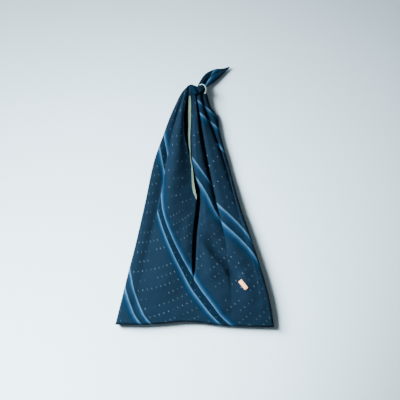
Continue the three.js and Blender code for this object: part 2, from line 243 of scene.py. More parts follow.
# %% [markdown]
# ## The height of the cloth
# Between two fold lines the height is an S curve whose ends are level on a rounded crest and steep in a
# sharp crease. On top of that lies the soft relief that every laid cloth has: long shallow troughs and
# swells, one crisp facet, fine gathers that fade as they leave the knot, and a low crumple. Sculpting could
# give it too, but sums of bells and waves stay editable by their place, height and width.

# %% Soft relief
# Soft troughs (minus) and swells (plus) down the bag: their place, height and width at a few levels.
SOFT = [
    {"y": [115, 150, 190, 235, 280], "x": [50, 46, 34, 24, 20],
     "up": [0, 2.5, 2, 2, 0], "wide": [20, 20, 14, 12, 10]},
    {"y": [25, 60, 90, 125], "x": [78, 76, 72, 70],
     "up": [0, 3, 3, 0], "wide": [26, 26, 24, 20]},
    {"y": [150, 185, 225, 280], "x": [138, 126, 112, 94],
     "up": [0, 2.5, 3, 0], "wide": [20, 20, 18, 14]},
    {"y": [10, 50, 120, 200], "x": [150, 152, 146, 120],
     "up": [0, 3.5, 3.5, 0], "wide": [30, 30, 26, 18]},
    {"y": [290, 350, 430, 520, 570], "x": [-78, -74, -66, -60, -55],
     "up": [0, 4, 5, 4, 0], "wide": [20, 20, 18, 14, 12]},
    {"y": [180, 215, 270, 320], "x": [-22, -22, -20, -16],
     "up": [0, 3, 3, 0], "wide": [14, 14, 13, 12]},
    {"y": [138, 158, 200, 240, 330, 352], "x": [-3, -2, -1, 1, 9, 12],
     "up": [0, -8, -8, -5, -4, 0], "wide": [3, 3.4, 3.8, 4.4, 5, 5]},
]
# Facets: right of a crisp line at "x" the cloth falls over "fall" and rises again over "rise".
FACETS = [
    {"y": [70, 126, 148, 171, 193, 216, 238, 262], "x": [104, 90, 85, 69, 48, 29, 13, 2],
     "down": [0, 7, 10, 10.5, 10, 9, 6, 0], "fall": 28, "rise": 26},
]
# Gathers fan out from a point just above the knot and fade in between two levels.
FAN = {"x": -8, "y": 735, "from": 470, "full": 640}
GATHERS = [
    {"count": 31, "phase": 0.4, "up": 0.7},
    {"count": 47, "phase": 2.1, "up": 0.4},
    {"count": 73, "phase": 4.0, "up": 0.25},
]
CRUMPLES = [
    {"size": 95, "up": 0.5, "seed": 3},
    {"size": 34, "up": 0.22, "seed": 8},
    {"size": 15, "up": 0.08, "seed": 5},
]


def crumple(x, y, size, seed, waves=9):
    """A sum of waves of one length in random directions, divided by the root of their number."""
    random = np.random.default_rng(seed)
    total = np.zeros(np.broadcast(x, y).shape)
    for turn, phase in random.uniform(0, 2 * np.pi, (waves, 2)):
        total += np.cos((x * np.cos(turn) + y * np.sin(turn)) * 2 * np.pi / size + phase)
    return total / np.sqrt(waves)


def relief(x, y):
    """Soft folds as bells across their line, facets as a quarter sine down and half a cosine up, gathers as
    waves of the slope towards the knot, and crumple."""
    up = np.zeros(np.broadcast(x, y).shape)
    for soft in SOFT:
        inside = (y > soft["y"][0]) & (y < soft["y"][-1])
        middle, high, wide = (through(soft["y"], soft[key], y) for key in ("x", "up", "wide"))
        up += np.where(inside, high * bump(x, middle, wide), 0)
    for facet in FACETS:
        inside = (y > facet["y"][0]) & (y < facet["y"][-1])
        past = x - through(facet["y"], facet["x"], y)
        fall = np.sin(np.clip(past / facet["fall"], 0, 1) * np.pi / 2)
        rise = 0.5 + 0.5 * np.cos(np.clip((past - facet["fall"]) / facet["rise"], 0, 1) * np.pi)
        up -= np.where(inside, through(facet["y"], facet["down"], y) * fall * rise, 0)
    slope = (x - FAN["x"]) / (FAN["y"] - y)
    near_knot = smooth_step(FAN["from"], FAN["full"], y)
    for gather in GATHERS:
        up += gather["up"] * near_knot * np.cos(gather["count"] * slope + gather["phase"])
    for wave in CRUMPLES:
        up += wave["up"] * crumple(x, y, wave["size"], wave["seed"])
    return up


print(len(SOFT), "soft folds,", len(FACETS), "facet,", len(GATHERS), "gathers,", len(CRUMPLES), "crumples")

# %% [markdown]
# ## Two skins
# An empty bag is two cloths, one on the other. The back skin lies flat on the surface and the front skin
# carries the folds. Along the sides, the bottom and the top both curve in to meet halfway, like a folded
# edge that isn't pressed. Working out both skins by one formula keeps them apart everywhere, which two laid
# sheets wouldn't be without a collision pass.

# %% Skins
CLOTH_THICK, LINING_THICK, LABEL_THICK = 1.5, 1.0, 0.8
AIR = 0.4
# The front's outer face stays above the back by the thickness of both cloths and a little air.
LOWEST = 2 * CLOTH_THICK + AIR


def pick(table, index):
    """In every row, the table's value at each place's own fold."""
    return np.take_along_axis(table, index, axis=1)


def skins(x):
    """Heights of the front and the back skin at every place. Between folds a and b the crown is an S curve
    in the share t of the way, made steeper at each end by that fold's sharpness. The front never sinks into
    the back. Both skins round off to a middle height along the sides, the bottom and the top."""
    y = ROWS[:, None]
    k = np.clip((x[..., None] > AT[:, None, :]).sum(-1) - 1, 0, len(FOLDS) - 2)
    a, b = pick(AT, k), pick(AT, k + 1)
    low, high = pick(UP, k), pick(UP, k + 1)
    t = np.clip((x - a) / (b - a), 0, 1)
    ease = 2 * SHARP[k] * t * (1 - t) ** 2 + t * t * (3 - 2 * t) - 2 * SHARP[k + 1] * t * t * (1 - t)
    left, right = AT[:, :1], AT[:, -1:]
    middle = (UP[:, :1] + (UP[:, -1:] - UP[:, :1]) * (x - left) / (right - left)) / 2
    ends = quarter_round(y, BOTTOM_ROLL) * quarter_round(TOP - y, TOP_ROLL)
    rounding = quarter_round(np.minimum(x - left, right - x), SIDE_ROLL) * ends
    crown = np.maximum(low + (high - low) * ease + relief(x, y), LOWEST)
    return middle + (crown - middle) * rounding, middle - middle * rounding, k


left_up, _, left_fold = skins(left_x)
right_up, _, right_fold = skins(right_x)
_, back_up, _ = skins(back_x)
print("highest fold", round(max(left_up.max(), right_up.max()), 1), "mm")

# %% [markdown]
# ## Where the pattern lies on the cloth
# The stripes are straight on the flat cloth. When the horns are drawn together each panel of cloth turns
# towards the knot, and creases hide part of it, so on the laid bag the stripes bend and jump. The mesh
# therefore carries the cloth's own coordinates: across the stripes and along them, in metres. In the belly
# the turn follows the line of sight to the knot; above it each panel has a turn and a shift of its own.
# Unwrapping the mesh would give the cloth as it lies, without the parts that the creases swallow.

# %% Cloth coordinates
SLANT = np.radians(57)
PIVOT = (0, 150)
KNOT = (-2, 650)
# In the belly the stripes turn by a share of the line of sight to the knot, less so on the right, and are
# shifted by a few millimetres at a few levels. Round the bottom fold the turn changes over to the back's
# within "fold".
BELLY = {"share": 0.85, "right_share": 0.5, "right_from": 90, "fold": 160,
         "y": [0, 35, 90, 160, 200, 250, 330, 400], "shift": [-5, 1.5, 1, -3.5, -3, 1, 10, 8]}
# Past each of these levels the right panels are another layer of the pleats, so the pattern jumps there.
CUTS = [475, 505]
# A panel runs from one fold line to another. Its turn is in degrees. What would be at "at" across the
# stripes is "shows" instead, and the scale says how much cloth there is for each millimetre, minus where a
# pleat has turned it over. It takes over between two levels, or belongs to one layer.
PANELS = [
    {"from": "left", "to": "tuck", "turn": 22, "at": 51, "shows": 47, "scale": 1.1,
     "low": 250, "high": 400},
    {"from": "tuck", "to": "gap", "turn": 31, "at": -5, "shows": 67, "scale": 1,
     "low": 300, "high": 400},
    {"from": "gap", "to": "crease", "turn": -3, "at": 249, "shows": 243, "scale": 0.9,
     "low": 250, "high": 400},
    {"from": "crease", "to": "right", "turn": -15, "at": 249, "shows": 244, "scale": 0.75,
     "low": 120, "high": 220},
    {"from": "crease", "to": "right", "turn": -10, "at": 369, "shows": 255, "scale": -0.8, "layer": 1},
    {"from": "crease", "to": "right", "turn": -18, "at": 456.5, "shows": 255, "scale": 0.95, "layer": 2},
]
# Where the cloth turns down at a side it is longer than it looks, over this reach at a few levels.
ROLLS = {
    "y": [0, 100, 220, 400, 520, 660],
    "left": [6, 6, 6, 6, 6, 6],
    "right": [20, 35, 60, 30, 6, 4],
}


def turned(x, y, turn):
    """Turns places clockwise about the pivot and reads them across and along the stripes."""
    dx, dy = x - PIVOT[0], y - PIVOT[1]
    across = dx * np.cos(turn) - dy * np.sin(turn)
    up = dx * np.sin(turn) + dy * np.cos(turn) + PIVOT[1]
    q = across * np.sin(SLANT) + up * np.cos(SLANT)
    p = across * np.cos(SLANT) - up * np.sin(SLANT)
    return q, p


def rolled(distance, reach):
    """How much longer the cloth is than it looks near a rolled edge: reach times (arcsin t - t)."""
    t = np.clip(1 - distance / reach, 0, 1)
    return reach * (np.arcsin(t) - t)


def belly_share(x):
    """The share of the turn towards the knot: an S curve from the left's to the right's."""
    change = smooth_step(0, BELLY["right_from"], x)
    return BELLY["share"] + (BELLY["right_share"] - BELLY["share"]) * change


def cloth_place(x, y, fold, layer=0):
    """Cloth coordinates of places on the front, from the fold to the left of each and its pleats' layer."""
    y = y + 0 * x
    left, right = (through(LEVELS, FOLDS[k]["at"], y) for k in (0, -1))
    ray = np.arctan2(KNOT[0] - x, KNOT[1] - y)
    left_reach, right_reach = (through(ROLLS["y"], ROLLS[side], y) for side in ("left", "right"))
    x = x - rolled(x - left, left_reach) + rolled(right - x, right_reach)
    bent = through(BELLY["y"], BELLY["shift"], y)
    y = y - rolled(y, BOTTOM_ROLL)
    q, p = turned(x, y, belly_share(x) * ray)
    q += bent
    for panel in PANELS:
        here = (fold >= NAMES.index(panel["from"])) & (fold < NAMES.index(panel["to"]))
        own_q, own_p = turned(x, y, np.radians(panel["turn"]))
        own_q = panel["shows"] + (own_q - panel["at"]) * panel["scale"]
        own = layer == panel["layer"] if "layer" in panel else smooth_step(panel["low"], panel["high"], y)
        own = np.where(here, own, 0)
        q, p = q + (own_q - q) * own, p + (own_p - p) * own
    return np.stack([q, p], axis=-1) * MM


print(len(PANELS), "panels, in", len(CUTS) + 1, "layers on the right")

# %% [markdown]
# ## Grids into a mesh
# Each surface is a grid of points with cloth coordinates. The grids are put into one mesh and points that
# coincide are merged, which closes the sides and the folds. The coordinates belong to the corners of faces,
# so they may jump at a seam although the points are shared. The cloth's thickness comes last, as a
# modifier.

# %% Mesh helpers
def grid_faces(rows, columns, start=0, flip=False):
    """Four corners for each cell of a grid, running anticlockwise seen from above unless flipped."""
    corner = start + (np.arange(rows - 1)[:, None] * columns + np.arange(columns - 1)).ravel()
    faces = np.stack([corner, corner + 1, corner + columns + 1, corner + columns], axis=1)
    return faces[:, ::-1] if flip else faces


def make_piece(name, points, coordinates, faces, merge=1e-5):
    """A mesh object from points in bag millimetres, with cloth coordinates on its face corners."""
    mesh = bpy.data.meshes.new(name)
    corner_lists = [face.tolist() for group in faces for face in group]
    mesh.from_pydata(points.reshape(-1, 3) * MM + BAG_ORIGIN, [], corner_lists)
    corners = np.empty(len(mesh.loops), int)
    mesh.loops.foreach_get("vertex_index", corners)
    mesh.uv_layers.new(name="cloth").data.foreach_set("uv", coordinates.reshape(-1, 2)[corners].ravel())
    shape = bmesh.new()
    shape.from_mesh(mesh)
    bmesh.ops.remove_doubles(shape, verts=shape.verts, dist=merge)
    shape.to_mesh(mesh)
    shape.free()
    mesh.polygons.foreach_set("use_smooth", np.ones(len(mesh.polygons), bool))
    piece = bpy.data.objects.new(name, mesh)
    bpy.context.scene.collection.objects.link(piece)
    print(name, len(mesh.vertices), "points,", len(mesh.polygons), "faces")
    return piece


def thicken(piece, millimetres):
    """Gives a sheet its thickness, inwards from its outer skin."""
    solid = piece.modifiers.new("thickness", "SOLIDIFY")
    solid.thickness, solid.offset = millimetres * MM, -1


outer_low, outer_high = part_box("outer_cloth")
BAG_ORIGIN = np.array([outer_low.x - FOLDS[0]["at"][0] * MM, outer_high.y - TIP * MM, 0.0])
print("bag origin", BAG_ORIGIN.round(4))


# %% [markdown]
# ## The body of the bag
# On the real bag the front and the back are one cloth, folded at the bottom and sewn at the sides, so here
# they are one closed mesh. The front has two grids, left and right of the slit, and the back has one grid
# with half as many columns. The right grid is cut into three blocks at the levels where the pattern jumps.
# At the bottom and the top the back's end row is joined to the front's by a strip of five-cornered faces.

# %% Sheets of the body
def laid(x, z, y=ROWS[:, None]):
    """Points of a grid: the levels are moved up by the bow of the bottom fold."""
    return np.stack([x, y + bow_shift(x, y) + 0 * x, z], axis=-1)


def back_places(level):
    """Cloth coordinates on the back: the front's, mirrored about the bottom fold, with the turn towards the
    knot easing from the front's share to the opposite one."""
    mirrored = rolled(level, BOTTOM_ROLL) - level - 2 * rolled(0, BOTTOM_ROLL)
    ray = np.arctan2(KNOT[0] - back_x, KNOT[1] - level)
    change = smooth_step(0, BELLY["fold"], level)
    share = belly_share(back_x)
    share = share + (-BELLY["share"] - share) * change
    q, p = turned(back_x, mirrored, share * ray)
    q += BELLY["shift"][0] * (1 - change)
    return np.stack([q, p], -1) * MM


def end_strip(left_start, right_start, back_start, turn):
    """Faces between an end row of the front and a row of the back: one for each cell of the back, with the
    two cells of the front as three of its five corners. The turn says which way round they run."""
    left_row = left_start + np.arange(left_x.shape[1])
    right_row = right_start + np.arange(1, right_x.shape[1])
    front = np.concatenate([left_row, right_row])
    back = back_start + np.arange(back_x.shape[1])
    corners = [front[:-2:2], back[:-1], back[1:], front[2::2], front[1:-1:2]]
    return np.stack(corners, axis=1)[:, ::turn]


def body_sheets():
    """The left front grid, the back grid and the blocks of the right front grid, with their cloth
    coordinates and faces. The back's own end rows aren't used, because the strips take their place."""
    rows, left_count, right_count, back_count = len(ROWS), left_x.shape[1], right_x.shape[1], back_x.shape[1]
    level = ROWS[:, None]
    cuts = [0, *np.searchsorted(ROWS, CUTS), rows - 1]
    blocks = [slice(low, high + 1) for low, high in zip(cuts[:-1], cuts[1:])]
    points = [laid(left_x, left_up), laid(back_x, back_up)]
    places = [cloth_place(left_x, level, left_fold), back_places(level)]
    for layer, block in enumerate(blocks):
        points.append(laid(right_x[block], right_up[block], level[block]))
        places.append(cloth_place(right_x[block], level[block], right_fold[block], layer))
    starts = np.cumsum([0] + [grid.shape[0] * grid.shape[1] for grid in points])
    back_start, right_start, end = starts[1], starts[2], starts[-1]
    faces = [grid_faces(rows, left_count)]
    faces += [grid_faces(len(grid), right_count, start) for grid, start in zip(points[2:], starts[2:])]
    faces.append(grid_faces(rows, back_count, back_start, flip=True)[back_count - 1 : -(back_count - 1)])
    faces.append(end_strip(0, right_start, back_start + back_count, 1))
    last_back = back_start + (rows - 2) * back_count
    faces.append(end_strip(back_start - left_count, end - right_count, last_back, -1))
    return points, places, faces


print("the front is cut at rows", np.searchsorted(ROWS, CUTS).tolist(), "of", len(ROWS))

# %% [markdown]
# ## The knot
# The left horn comes up, turns over to the right and wraps the right horn, which leaves the knot as a free
# end like a leaf. Gathered cloth in a knot shows as ropes of small folds that run along the horn, so both
# are lofts: oval sections carried along a path, with grooves that follow the path. Tying it by simulation
# would hardly give this knot, so its path is given in a few rows: the middle line, and the half height
# and depth of the section.

# %% Paths of the band and the free end
BAND = {
    "x": [-31, -27, -21, -12, -2, 8, 16, 23, 29],
    "y": [640, 649, 655, 657, 653, 652, 656, 658, 658],
    "high": [5, 9, 12, 14, 15.5, 13, 11.5, 10.5, 6],
    "z": [15, 17, 19, 20, 20, 20, 19.5, 18.5, 17],
    "deep": [4, 7, 10, 11.5, 12.5, 11.5, 11, 9.5, 6],
}
TAIL = {
    "x": [12, 17, 27, 42, 61, 81, 98],
    "y": [640, 660, 677, 691, 703, 712, 722.5],
    "half": [12, 12, 14, 17, 14, 6.5, 1],
    "z": [14, 13, 11, 8.5, 7, 6, 5.5],
    "thick": [18, 15, 12, 9, 7, 5, 2],
}
# Cloth coordinates of the two horns. They start far along the cloth, where no dashes are dyed. On the band
# they rise towards one stripe's lighter blue at its middle, which is partly that stripe and partly painted
# light for the lit middle of the knot; on the free end they are read along a slanting line through a point.
FAR = 5000
BAND_STRIPE_AND_PAINTED_LIGHT = {"base": 18, "rise": 20, "at": -5, "reach": 9, "lean": 2, "long": 70}
TAIL_PATTERN = {"base": 67, "x": 54, "y": 714, "across": 0.874, "down": 0.485, "long": 128}
# Ropes of small folds along the band: how many go round, how they twist, and their depth as a share of the
# section.
ROPES = [
    {"deep": 0.07, "count": 5, "twist": 2.2, "phase": 0.6},
    {"deep": 0.04, "count": 9, "twist": -3, "phase": 0},
    {"deep": 0.02, "count": 17, "twist": 5, "phase": 0},
]
# Two deep folds cut the band's front into lobes, each on a line that leans as it goes round.
LOBES = [
    {"deep": 0.45, "x": -17, "lean": 3, "wide": 2.4},
    {"deep": 0.3, "x": 8, "lean": -4, "wide": 2.6},
]


def along_table(table, share):
    """Every column of a table read at a share of the way from its first row to its last."""
    steps = np.arange(len(table["x"]))
    return {key: through(steps, values, share * steps[-1]) for key, values in table.items()}


def path_direction(row):
    """Unit direction along a path in x and in y, from the differences between its points."""
    ahead = np.gradient(np.stack([row["x"][:, 0], row["y"][:, 0]], -1), axis=0)
    return (ahead / np.linalg.norm(ahead, axis=1, keepdims=True)).T[:, :, None]


print("band and free end in", len(BAND["x"]), "and", len(TAIL["x"]), "rows")


# %% Band and free end
def band_sheet(sections=72, around=64):
    """Ovals carried across the knot. Their radius is cut by the ropes and, on the front, by the lobes'
    folds, and the oval closes at both ends as a quarter circle."""
    s = np.linspace(0, 1, sections)[:, None]
    row = along_table(BAND, s)
    turn = np.linspace(0, 2 * np.pi, around)[None, :]
    close = quarter_round(np.minimum(s, 1 - s), 0.09)
    front = np.clip(np.sin(turn), 0, 1)
    size = 1
    for rope in ROPES:
        size = size + rope["deep"] * np.cos(rope["count"] * turn + rope["twist"] * s + rope["phase"])
    for lobe in LOBES:
        line = lobe["x"] + lobe["lean"] * np.cos(turn)
        size = size - lobe["deep"] * bump(row["x"], line, lobe["wide"]) * front
    size = size * close
    x = row["x"] + 1.5 * np.sin(3 * turn + 4 * s) * close
    y = row["y"] + row["high"] * np.cos(turn) * size
    z = row["z"] + row["deep"] * np.sin(turn) * size
    pattern = BAND_STRIPE_AND_PAINTED_LIGHT
    # The band's colour rises to the stripe's lighter blue at its middle: partly stripe, partly painted light.
    near = bump(row["x"] + pattern["lean"] * np.cos(turn), pattern["at"], pattern["reach"])
    q = pattern["base"] + pattern["rise"] * near
    p = FAR + pattern["long"] * s + 0 * turn
    return np.stack([x, y, z], -1), np.stack([q, p], -1) * MM, grid_faces(sections, around)


def tail_sheet(sections=90, around=56):
    """Flat leaf sections carried along the free end: an oval squeezed on the front by one long fold."""
    s = np.linspace(0, 1, sections)[:, None]
    row = along_table(TAIL, s)
    run_x, run_y = path_direction(row)
    turn = np.linspace(0, 2 * np.pi, around)[None, :]
    across, up = np.cos(turn), np.sin(turn)
    fold = 0.45 * bump(across, 0.15 - 0.3 * s, 0.2) * np.clip(up, 0, 1) * smooth_step(0, 0.3, s)
    swell = 0.12 * np.cos(4 * across + 5 * s) * up
    close = quarter_round(np.minimum(s + 0.02, 1 - s), 0.03)
    side = row["half"] * across * close
    x = row["x"] + run_y * side
    y = row["y"] - run_x * side
    z = row["z"] + row["thick"] / 2 * (up - fold + swell) * close
    pattern = TAIL_PATTERN
    q = pattern["base"] + (x - pattern["x"]) * pattern["across"] - (y - pattern["y"]) * pattern["down"]
    p = FAR + s * pattern["long"] - side
    return np.stack([x, y, z], -1), np.stack([q, p], -1) * MM, grid_faces(sections, around, flip=True)


# %% Outer cloth as one piece
def outer_cloth():
    """The body, the band and the free end are one cloth, so their grids go into one mesh."""
    points, places, faces = body_sheets()
    for sheet_points, sheet_places, sheet_faces in (band_sheet(), tail_sheet()):
        start = sum(block.shape[0] * block.shape[1] for block in points)
        points.append(sheet_points)
        places.append(sheet_places)
        faces.append(sheet_faces + start)
    flat_points = np.concatenate([block.reshape(-1, 3) for block in points])
    flat_places = np.concatenate([block.reshape(-1, 2) for block in places])
    return make_piece("outer_cloth_sheet", flat_points, flat_places, faces)


bag = outer_cloth()
thicken(bag, CLOTH_THICK)

# %% [markdown]
# ## The lining where it shows
# Pale lining shows in two places: along the right lip of the slit, where it curls over into the opening and
# ends in a leaf tip, and as a thin turned edge round the right end of the knot. Each is a narrow sheet that
# follows a few listed rows.

# %% Lining along the slit
SLIT_LINING = {
    "y": [352, 359, 372, 394, 417, 439, 461, 484, 506, 529, 551, 574, 596, 620, 639],
    "left": [3.6, 0.5, -5, -8, -8.8, -9.5, -12.2, -14.5, -18.5, -19.6, -19.6, -19.6, -19.6, -18.4, -16.8],
    "right": [5.4, 5.2, 2.6, -1.4, -4.2, -6.5, -10, -12.5, -13, -13, -12, -10.8, -10.3, -10.8, -12.2],
    "left_z": [20.8, 20.8, 20.6, 20.4, 19.3, 18.2, 17.2, 16, 13.5, 12, 11.8, 12.6, 17, 20, 23],
    "right_z": [20.8, 20.6, 20.2, 19.8, 18.8, 17.6, 16.5, 15.8, 15.4, 15.8, 16.4, 17.2, 20, 22, 24],
}


def slit_lining(rows=120, columns=12):
    """The sheet falls away from its right edge as (1 - t)^2, with a small wave along it."""
    y = np.linspace(SLIT_LINING["y"][0], SLIT_LINING["y"][-1], rows)[:, None]
    t = np.linspace(0, 1, columns)[None, :]
    keys = ("left", "right", "left_z", "right_z")
    left, right, left_z, right_z = (through(SLIT_LINING["y"], SLIT_LINING[key], y) for key in keys)
    wave = 0.4 * np.sin(y / 9) * (1 - t) ** 2 + 0.2 * np.sin(y / 23 + 1)
    x = left + (right - left) * t
    z = right_z + (left_z - right_z) * (1 - t) ** 2 + wave
    places = np.stack([x, y + 0 * x], -1) * MM
    points = np.stack([x, y + 0 * x, z], -1)
    faces = [grid_faces(rows, columns)]
    return make_piece("slit_lining_sheet", points, places, faces)


lining = slit_lining()
thicken(lining, LINING_THICK)

# %% [markdown]
# ## The turned edge at the knot
# Where the outer horn leaves the knot its hem is turned over, and a pale roll of the lining shows along it.
# A curve with a bevel would do as well, but a small loft along the listed path gives the flat oval of a
# soft roll.

# %% Turned edge at the knot
KNOT_EDGE = {
    "x": [12, 16, 21, 26, 29.5, 31, 30, 26.5],
    "y": [668, 670, 670.5, 667.5, 662, 655, 649, 644.5],
    "z": [26, 26, 26, 26, 25.5, 25, 24.5, 24],
}
EDGE_ROLL = {"half_width": 1.05, "half_depth": 0.8, "long": 45, "radius": 1.2}


def knot_edge(sections=60, around=12):
    """A flat cord-like roll of turned cloth: small ovals carried along the edge, closed at both ends."""
    s = np.linspace(0, 1, sections)[:, None]
    row = along_table(KNOT_EDGE, s)
    run_x, run_y = path_direction(row)
    turn = np.linspace(0, 2 * np.pi, around)[None, :]
    close = quarter_round(np.minimum(s, 1 - s), 0.06)
    side = EDGE_ROLL["half_width"] * np.cos(turn) * close
    x, y = row["x"] + run_y * side, row["y"] - run_x * side
    z = row["z"] + EDGE_ROLL["half_depth"] * np.sin(turn) * close
    points = np.stack([x, y, z], -1)
    places = np.stack([s * EDGE_ROLL["long"] + 0 * turn, turn * EDGE_ROLL["radius"] + 0 * s], -1) * MM
    faces = [grid_faces(sections, around, flip=True)]
    return make_piece("knot_edge_roll", points, places, faces)


edge = knot_edge()

# %% [markdown]
# ## The label
# A small woven label is sewn flat near the lower right corner. It is left bare. It could be drawn on the
# cloth by the material, but a real label has its own thickness and edge, so it is a small sheet that reads
# the height of the cloth below and keeps a little air under it.

# %% Label
# "top" is the height of the label's outer face above the cloth.
LABEL = {"x": 134, "y": 115, "length": 29, "width": 11.2, "turn": -51, "top": 1.9}


def front_height(x, y):
    """The height of the front at scattered places, read along the nearest row of the right grid."""
    row = np.interp(y, ROWS, np.arange(len(ROWS)))
    near = np.round(row).astype(int).ravel()
    flat = [np.interp(place, right_x[r], right_up[r]) for place, r in zip(x.ravel(), near)]
    return np.array(flat).reshape(x.shape)


def label_sheet(columns=30, rows=12):
    """A rectangle turned about its middle, above the front's height at the level the bow moved here."""
    s = (np.linspace(0, 1, columns)[None, :] - 0.5) * LABEL["length"]
    t = (np.linspace(0, 1, rows)[:, None] - 0.5) * LABEL["width"]
    turn = np.radians(LABEL["turn"])
    x = LABEL["x"] + s * np.cos(turn) - t * np.sin(turn)
    y = LABEL["y"] + s * np.sin(turn) + t * np.cos(turn)
    z = front_height(x, y - bow_shift(x, y)) + LABEL["top"]
    points = np.stack([x, y, z], -1)
    places = np.stack([s + 0 * t, t + 0 * s], -1) * MM
    faces = [grid_faces(rows, columns)]
    return make_piece("label_sheet", points, places, faces)


label = label_sheet()
thicken(label, LABEL_THICK)

# %% [markdown]
# ## Finishes
# All the real materials here are matt cloth. Colours are given as sRGB hex and turned to linear by one
# function, and patterns read the cloth coordinates, in metres, so they bend with the folds. One helper adds
# a node with its settings and links.

# %% Colour and node helpers
def linear(code):
    """A hex colour as linear RGBA: ((c + 0.055) / 1.055)^2.4 for each channel, or c / 12.92 if dark."""
    values = [int(code[i : i + 2], 16) / 255 for i in (1, 3, 5)]
    return (*[v / 12.92 if v <= 0.04045 else ((v + 0.055) / 1.055) ** 2.4 for v in values], 1.0)


def add_node(tree, kind, links=None, **settings):
    """Adds a shader node of a kind, sets its properties, and gives each named input a value or a link."""
    node = tree.nodes.new("ShaderNode" + kind)
    for key, value in settings.items():
        setattr(node, key, value)
    for key, value in (links or {}).items():
        if isinstance(value, bpy.types.NodeSocket):
            tree.links.new(value, node.inputs[key])
        else:
            node.inputs[key].default_value = value
    return node


def new_material(name):
    """An empty material and its node tree."""
    material = bpy.data.materials.new(name)
    material.use_nodes = True
    tree = material.node_tree
    tree.nodes.clear()
    return material, tree


def finish_material(tree, colour, roughness, normal, gloss):
    """A matt surface. Its IOR is that of cellulose fibre, 1.5, and its gloss says how little of the shine
    is left between loose fibres."""
    shader = add_node(tree, "BsdfPrincipled", {
        "Base Color": colour, "Roughness": roughness, "IOR": 1.5, "Normal": normal,
        "Specular IOR Level": gloss,
    })
    add_node(tree, "OutputMaterial", {"Surface": shader.outputs[0]})


print("the dyed ground is", [round(v, 4) for v in linear("#0B1925")[:3]], "in linear light")

# %% [markdown]
# ## Striped cotton
# The cloth is plain-weave cotton dyed deep indigo. Across it run pairs of blue bands that are shaded to one
# side and end in a crisp pale line on the other, as a resist leaves them, and between the bands lie short
# pale dashes in broken rows. An image could carry this, but bands are only a colour for each place across
# the cloth, so a ramp holds them, and the dashes are one cell of a grid drawn again and again.


# %% Striped cotton
PERIOD = 350
RAMP_START = -160
BASE, DARK, PALE = "#0B1925", "#051421", "#355268"
GLOW = ["#051725", "#041A2A", "#082034", "#112941", "#1A344D"]
# Places across the cloth where the colour is given, in millimetres, and whether dashes are dyed there. The
# pattern repeats after PERIOD.
STRIPES = [
    (-160, BASE, 1), (-135, BASE, 0), (-128.5, GLOW[1], 0), (-124.5, GLOW[2], 0), (-122, GLOW[3], 0),
    (-119.6, GLOW[4], 0), (-117.5, PALE, 0), (-116.6, PALE, 0), (-115.6, GLOW[0], 0), (-107, BASE, 0),
    (-100, GLOW[2], 0), (-97.2, GLOW[4], 0), (-95.4, PALE, 0), (-94.6, PALE, 0), (-93.6, BASE, 0),
    (-88, BASE, 1), (29, BASE, 1), (35.5, GLOW[1], 0), (39.5, GLOW[2], 0), (42, GLOW[3], 0),
    (44.4, GLOW[4], 0), (46.4, PALE, 0), (47.3, PALE, 0), (48.4, DARK, 1), (60, DARK, 0),
    (65.6, DARK, 0), (66.6, PALE, 0), (67.5, PALE, 0), (69.8, GLOW[4], 0), (72.2, GLOW[3], 0),
    (77.5, GLOW[1], 0), (85, BASE, 1),
]
# A dash's half width and half length are where it starts to fade and where it is gone, in metres.
DASH = {
    "start": (0.04725, 0), "cell": (0.0125, 0.0235), "colour": "#4C5F69",
    "half_width": (0.0002, 0.0009), "half_length": (0.0012, 0.0024), "strength": (0.3, 1.0),
}
# Dashes are kept where a slow noise, stretched by "spread" from cell to cell, is over this range.
RUNS = {"spread": (0.31, 1.7, 0), "kept": (0.41, 0.47)}
# Dashes are dyed only where the place along the cloth is under this, in metres. The horns' places start far
# past it.
BODY_END = 2.0
# The bands' edges wander by this much, in metres, over a noise of about 8 mm.
WANDER, WANDER_SCALE = 0.0022, 120.0
# A wave texture's scale is 314 over its spacing in millimetres. Real threads are 0.3 mm apart, too fine to
# show, so the outer weave is drawn at 1.2 mm, the lining's at 1.05 mm and the label's at 0.63 mm.
WEAVE_SCALE, LINING_SCALE, LABEL_SCALE = 260.0, 300.0, 500.0


def band_colours(tree, q):
    """A colour ramp over one period of the place across the cloth. Its alpha says where dashes are dyed."""
    shifted = add_node(tree, "Math", {0: q, 1: RAMP_START * MM}, operation="SUBTRACT").outputs[0]
    scaled = add_node(tree, "Math", {0: shifted, 1: PERIOD * MM}, operation="DIVIDE").outputs[0]
    phase = add_node(tree, "Math", {0: scaled}, operation="FRACT").outputs[0]
    ramp = add_node(tree, "ValToRGB", {0: phase})
    stops = ramp.color_ramp.elements
    while len(stops) < len(STRIPES):
        stops.new(1)
    for stop, (place, code, dashed) in zip(stops, STRIPES):
        stop.position, stop.color = (place - RAMP_START) / PERIOD, (*linear(code)[:3], dashed)
    return ramp


